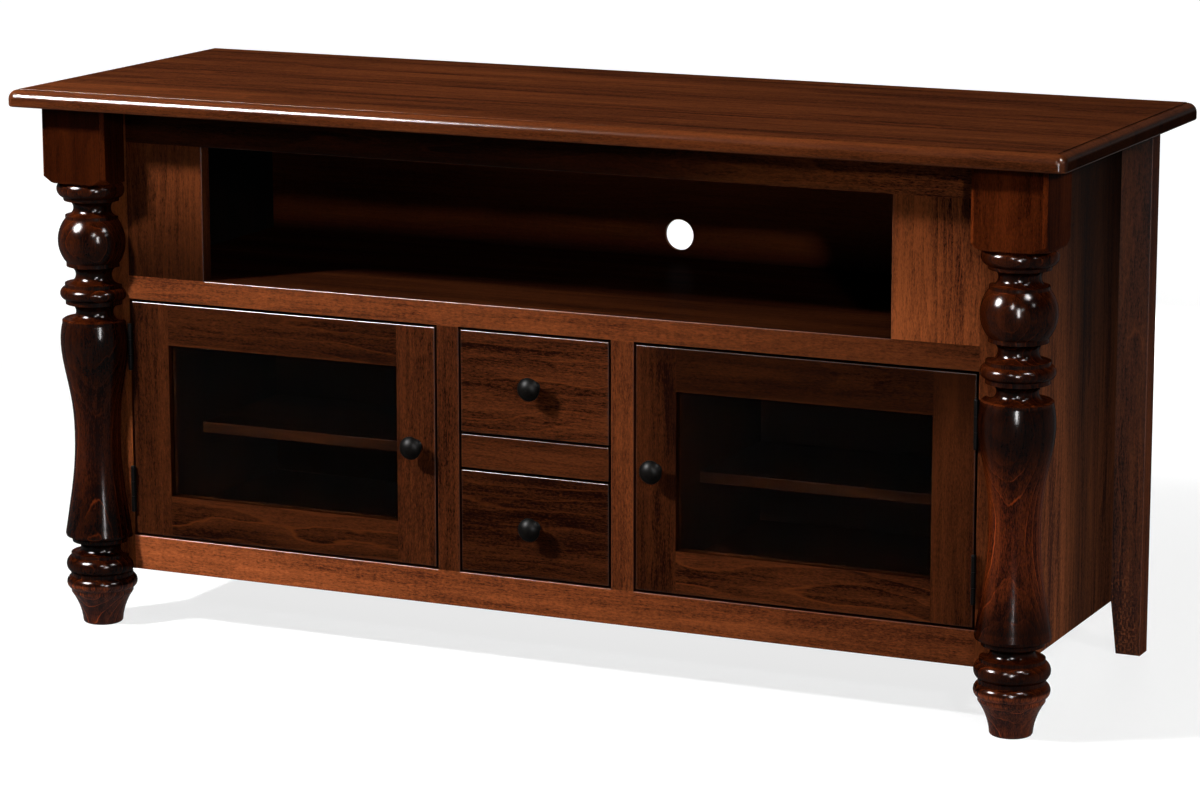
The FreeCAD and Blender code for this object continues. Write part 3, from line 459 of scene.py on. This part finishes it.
def turned_wood(name, side):
    """The glossy finish of a turned leg, darker in its coves."""
    tone = LEG_TONE[side]
    made, t = material("wood_" + name)
    low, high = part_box(name)
    at = t.place()
    middle = ((low[0] + high[0]) / 2, (low[1] + high[1]) / 2, LEG_MIDDLE)
    centred = t.vector("SUBTRACT", at, middle)
    board = turned_board(t, centred, "z")
    seed = drawn_seed(random.Random(name))
    drawn = figured(t, board, seed, LEG_PITH, LEG_FIGURE, LEG_CURL)
    height = t.part(at, "z")
    block, vase, foot = leg_zones(t, height)
    contrast = t.math("MULTIPLY_ADD", block, BLOCK_CONTRAST - LEG_CONTRAST, LEG_CONTRAST)
    shade = t.math("SUBTRACT", drawn["Shade"], MIDDLE_SHADE)
    shade = t.math("MULTIPLY_ADD", shade, contrast, MIDDLE_SHADE)
    from_axis = t.vector("LENGTH", t.vector("MULTIPLY", centred, (1.0, 1.0, 0.0)))
    # darker towards the axis, in the coves
    cove_darkening = t.ramp(from_axis, COVE_RADIUS, BEAD_RADIUS, COVE_SHADE, 1.0)
    shade = t.math("MULTIPLY", shade, cove_darkening, clamp=True)
    colour = t.blend(shade, tinted(LEG_DARK, tone), tinted(LEG_LIGHT, tone))
    line = t.math("POWER", drawn["Line"], LEG_LINE_POWER)
    line = t.math("MULTIPLY", line, t.math("SUBTRACT", 1.0, block))
    colour = t.blend(line, colour, tinted(LEG_LINE, tone))
    coat = t.math("MULTIPLY_ADD", block, BLOCK_COAT - LEG_COAT, LEG_COAT)
    bump = t.bump(drawn["Height"], *LEG_BUMP)
    t.surface({
        "Base Color": t.scaled(colour, leg_lift(t, side, height, block, vase, foot)),
        "Roughness": t.math("MULTIPLY_ADD", drawn["Height"], LEG_ROUGH_CHANGE, LEG_ROUGH),
        "Normal": bump,
        "Specular IOR Level": 0.0,
        "Coat Weight": t.math("MULTIPLY_ADD", foot, FOOT_COAT - LEG_COAT, coat),
        "Coat Roughness": LEG_COAT_ROUGH,
        "Coat Normal": bump,
    })
    return made


def black_metal():
    """Oil-rubbed black knobs and hinges, with faint mottling."""
    made, t = material("black_metal")
    at = t.place()
    cloud = t.noise(at, BLACK_CLOUD, 3.0)["Fac"]
    t.surface({
        "Base Color": t.blend(cloud, *BLACK_COLOURS),
        "Roughness": t.math("MULTIPLY_ADD", cloud, BLACK_ROUGH_CHANGE, BLACK_ROUGH),
        "Normal": t.bump(t.noise(at, BLACK_GRIT, 2.0)["Fac"], *BLACK_BUMP),
        "Specular IOR Level": BLACK_GLOSS,
    })
    return made


def steel():
    """Zinc plated steel, brushed along its length."""
    made, t = material("slide_steel")
    at = t.place()
    brush = t.noise(at, STEEL_BRUSH, 2.0)["Fac"]
    t.surface({
        "Base Color": t.blend(t.noise(at, STEEL_CLOUD, 2.0)["Fac"], *STEEL_COLOURS),
        "Roughness": t.math("MULTIPLY_ADD", brush, STEEL_ROUGH_CHANGE, STEEL_ROUGH),
        "Normal": t.bump(brush, *STEEL_BUMP),
        "Metallic": 1.0,
    })
    return made


def plastic():
    """Matt dark brown plastic of the catches."""
    made, t = material("catch_plastic")
    grit = t.noise(t.place(), PLASTIC_GRIT, 2.0)["Fac"]
    t.surface({
        "Base Color": t.blend(grit, *PLASTIC_COLOURS),
        "Roughness": t.math("MULTIPLY_ADD", grit, PLASTIC_ROUGH_CHANGE, PLASTIC_ROUGH),
        "Normal": t.bump(grit, *PLASTIC_BUMP),
        "Specular IOR Level": PLASTIC_GLOSS,
    })
    return made


def glass():
    """A clear pane with a faint grey tint, which lets the lamps through."""
    made, t = material("glass")
    wave = t.noise(t.place(), GLASS_WAVE, 1.0)["Fac"]
    pane = t.add("ShaderNodeBsdfPrincipled", {
        "Base Color": GLASS_TINT, "Roughness": 0.0, "IOR": GLASS_IOR,
        "Normal": t.bump(wave, *GLASS_BUMP), "Transmission Weight": 1.0})
    clear = t.add("ShaderNodeBsdfTransparent", {"Color": GLASS_FACE_TINT})
    is_shadow = t.add("ShaderNodeLightPath").outputs["Is Shadow Ray"]
    t.end(t.mixed(is_shadow, pane, clear))
    return made


def dress(name, made):
    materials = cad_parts[name].data.materials
    materials.clear()
    materials.append(made)


def dress_board(name, grain, tone, thick="y", **finish):
    dress(name, wood(name, grain, tone, thick, **finish))


def dress_top():
    shares = [(FRONT, TOP_FRONT_SHARE)] + [(way, TOP_END_SHARE) for way in ASIDE.values()]
    dress_board("top_panel", "x", 0.054, "z", figure=0.35, curl=0.10, contrast=0.85, faces=shares,
                flat_coat=0.004, edge_coat=0.08, coat_rough=0.15, stave=0.118)
    dress_board("top_cleats", "y", 0.060, "z")


def dress_face_frame():
    # painted shade under the top's overhang, with painted light towards the right end
    dress_board("top_rail", "x", 0.013, drift=(1.1, 8.5, 0.15))
    dress_board("mid_rail", "x", 0.112, figure=0.25, curl=0.35, contrast=0.75,
                drift=(0.92, 0.40, -0.2), faces=GAP_SHADE_FACES, edge_coat=0.14)
    dress_board("bottom_rail", "x", 0.135, figure=0.2, curl=0.40, contrast=0.8,
                drift=(1.30, 0.60, -1.0), faces=GAP_SHADE_FACES, edge_coat=0.09)
    dress_board("drawer_divider", "x", 0.036, figure=0.3, faces=GAP_SHADE_FACES, edge_coat=0.10)
    stiles = {"left": (0.048, (0.24, 0.90, -1.0)), "right": (0.104, (0.95, 0.60, -1.0))}
    mullions = {"left": 0.044, "right": 0.070}
    for side, (tone, drift) in stiles.items():
        dress_board("bay_stile_" + side, "z", tone, drift=drift, lateral=0.02)
        dress_board("mullion_" + side, "z", mullions[side], figure=0.2, curl=0.2, faces=GAP_SHADE_FACES)
        dress_board("corner_stile_" + side, "z", 0.060, faces=GAP_SHADE_FACES)


def dress_panels():
    back_panel_shade = (FRONT, "z", 0.49, 0.59, 0.04, 2.1)    # painted shade: black below, dark red in the bay
    dress_board("back_panel", "x", 0.130, contrast=0.4, zone=back_panel_shade)
    # very dark tones for the boards inside the case: painted shade
    dress_board("bottom_panel", "x", 0.008, "z", contrast=0.7, stave=INSIDE_STAVE)
    dress_board("bay_deck", "x", 0.019, "z", contrast=0.7, stave=INSIDE_STAVE)
    for side, way in ASIDE.items():
        # painted sheen near the front edge, and painted shade darkening towards the top
        sheen_near_front = (way, "y", -0.02, 0.09, 1.50, 0.43)
        dress_board("side_panel_" + side, "z", 0.050, "x", drift=(2.80, 0.24, -1.0),
                    faces=[(INWARD[side], PAINTED_INSIDE_SHADE)], zone=sheen_near_front, flat_coat=0.050,
                    coat_rough=0.5, stave=0.115, hue=SIDE_HUE)
        # painted shade: a very dark tone inside the case
        dress_board("partition_" + side, "z", 0.008, "x", stave=INSIDE_STAVE)


def dress_shelves():
    shelves = {                         # tone, drift and front edge's tone: painted shade, with painted light on the front edge and towards the left
        "left": (0.006, (2.9, 0.25, -1.0), 3.4),
        "right": (0.005, (1.6, 0.45, -1.0), 3.0),
    }
    for side, (tone, drift, lip) in shelves.items():
        dress_board("shelf_" + side, "x", tone, "z", drift=drift, faces=[(FRONT, lip)], stave=0.10)


def dress_legs():
    for side in ASIDE:
        dress("front_leg_" + side, turned_wood("front_leg_" + side, side))
        dress_board("rear_leg_" + side, "z", 0.088, drift=(1.0, 0.50, -1.0), flat_coat=0.05,
                    coat_rough=0.5)


def dress_doors(metal):
    tones = {                           # of the hinge stile, latch stile, top rail and bottom rail
        "left": (0.030, 0.043, 0.025, 0.024),
        "right": (0.027, 0.028, 0.014, 0.033),
    }
    hinge_drift = {"left": EVEN, "right": (1.25, 0.42, 0.2)}
    top_edge_coat = {"left": DOOR_EDGE_COAT, "right": 0.11}
    pane = glass()
    for side, (hinge, latch, top, bottom) in tones.items():
        door = "door_" + side
        dress_board(door + "_hinge_stile", "z", hinge, figure=0.2, drift=hinge_drift[side],
                    faces=GAP_SHADE_FACES, edge_coat=DOOR_EDGE_COAT)
        dress_board(door + "_latch_stile", "z", latch, figure=0.2, faces=GAP_SHADE_FACES,
                    edge_coat=DOOR_EDGE_COAT)
        dress_board(door + "_top_rail", "x", top, figure=0.45, faces=GAP_SHADE_FACES,
                    edge_coat=top_edge_coat[side])
        dress_board(door + "_bottom_rail", "x", bottom, figure=0.8, faces=GAP_SHADE_FACES,
                    edge_coat=DOOR_EDGE_COAT)
        dress_board(door + "_glass_stops", "x", 0.010)
        dress(door + "_glass", pane)
        dress(door + "_hinge_leaves", metal)
        dress(door + "_knob", metal)


def dress_drawers(metal):
    for drawer, tone in (("drawer_upper", 0.039), ("drawer_lower", 0.027)):
        dress_board(drawer + "_front", "x", tone, figure=0.35, contrast=1.2,
                    drift=(0.95, 1.1, -1.0), faces=GAP_SHADE_FACES, edge_coat=DOOR_EDGE_COAT)
        for part, grain, thick in (("_back", "x", "y"), ("_bottom", "x", "z"),
                                   ("_side_left", "y", "x"), ("_side_right", "y", "x")):
            dress_board(drawer + part, grain, 0.38, thick, contrast=0.28, flat_coat=0.015,
                        edge_coat=0.03, hue=CLEAR_HUE)
        dress(drawer + "_knob", metal)


def dress_hardware(metal):
    for name in ("hinge_frame_leaves", "hinge_pins"):
        dress(name, metal)
    zinc = steel()
    for name in ("slide_channels", "drawer_upper_slide_bars", "drawer_lower_slide_bars", "shelf_pins"):
        dress(name, zinc)
    dress("door_catches", plastic())


def seen_rays(t):
    """1 for rays from the camera, off gloss and through glass."""
    path = t.add("ShaderNodeLightPath").outputs
    seen = t.math("MAXIMUM", path["Is Camera Ray"], path["Is Glossy Ray"])
    return t.math("MAXIMUM", seen, path["Is Transmission Ray"])


def add_floor():
    mesh = bpy.data.meshes.new("floor")
    h = FLOOR_HALF
    mesh.from_pydata([(-h, -h, 0), (h, -h, 0), (h, h, 0), (-h, h, 0)], [], [(0, 1, 2, 3)])
    floor = bpy.data.objects.new("floor", mesh)
    bpy.context.scene.collection.objects.link(floor)
    made, t = material("floor")
    glow = t.ramp(t.vector("LENGTH", t.place()), FLOOR_NEAR, FLOOR_FAR, FLOOR_GLOW_NEAR,
                  FLOOR_GLOW_FAR)
    lit = t.add("ShaderNodeBsdfDiffuse", {"Color": (FLOOR_WHITE,) * 3 + (1.0,)})
    fill = t.add("ShaderNodeEmission", {"Strength": glow})
    both = t.add("ShaderNodeAddShader")
    t.put_all(both.inputs, (lit.outputs[0], fill.outputs[0]))
    bounce = t.add("ShaderNodeBsdfDiffuse", {"Color": (FLOOR_BOUNCE,) * 3 + (1.0,)})
    t.end(t.mixed(seen_rays(t), bounce, both))
    mesh.materials.append(made)


def add_world():
    """Dim all round, with the pale wall low over the horizon where it is seen."""
    world = bpy.data.worlds.new("studio")
    world.use_nodes = True
    bpy.context.scene.world = world
    t = Tree(world.node_tree)
    height = t.part(t.add("ShaderNodeTexCoord").outputs["Generated"], "z")
    band = t.ramp(height, BAND_LOW, BAND_HIGH, BAND_WHITE - AMBIENT, 0.0)
    strength = t.math("MULTIPLY_ADD", seen_rays(t), band, AMBIENT)
    t.end(t.add("ShaderNodeBackground", {"Strength": strength}), "ShaderNodeOutputWorld")


def add_lamps():
    for name, place, target, halves, power, seen_by in LAMPS:
        data = bpy.data.lights.new(name, "AREA")
        data.shape = "ELLIPSE"
        data.size = 2 * halves[0]
        data.size_y = 2 * halves[1]
        data.energy = power
        lamp = bpy.data.objects.new(name, data)
        lamp.location = place
        lamp.rotation_mode = "QUATERNION"
        lamp.rotation_quaternion = (Vector(target) - Vector(place)).to_track_quat("-Z", "Y")
        lamp.visible_camera = False
        lamp.visible_diffuse = seen_by != "gloss"
        lamp.visible_glossy = seen_by != "matt"
        bpy.context.scene.collection.objects.link(lamp)


def add_camera():
    data = bpy.data.cameras.new("camera")
    data.sensor_width = SENSOR
    data.lens = FOCAL_PIXELS / IMAGE_WIDTH * SENSOR
    camera = bpy.data.objects.new("camera", data)
    camera.location = CAMERA_PLACE
    camera.rotation_euler = (math.pi / 2 - CAMERA_DROP, CAMERA_ROLL, CAMERA_TURN)
    bpy.context.scene.collection.objects.link(camera)
    bpy.context.scene.camera = camera


add_camera()
add_world()
add_lamps()
add_floor()
dress_top()
dress_face_frame()
dress_panels()
dress_shelves()
dress_legs()
black = black_metal()
dress_doors(black)
dress_drawers(black)
dress_hardware(black)
bpy.context.scene.view_settings.view_transform = "Standard"

bpy.context.view_layer.update()
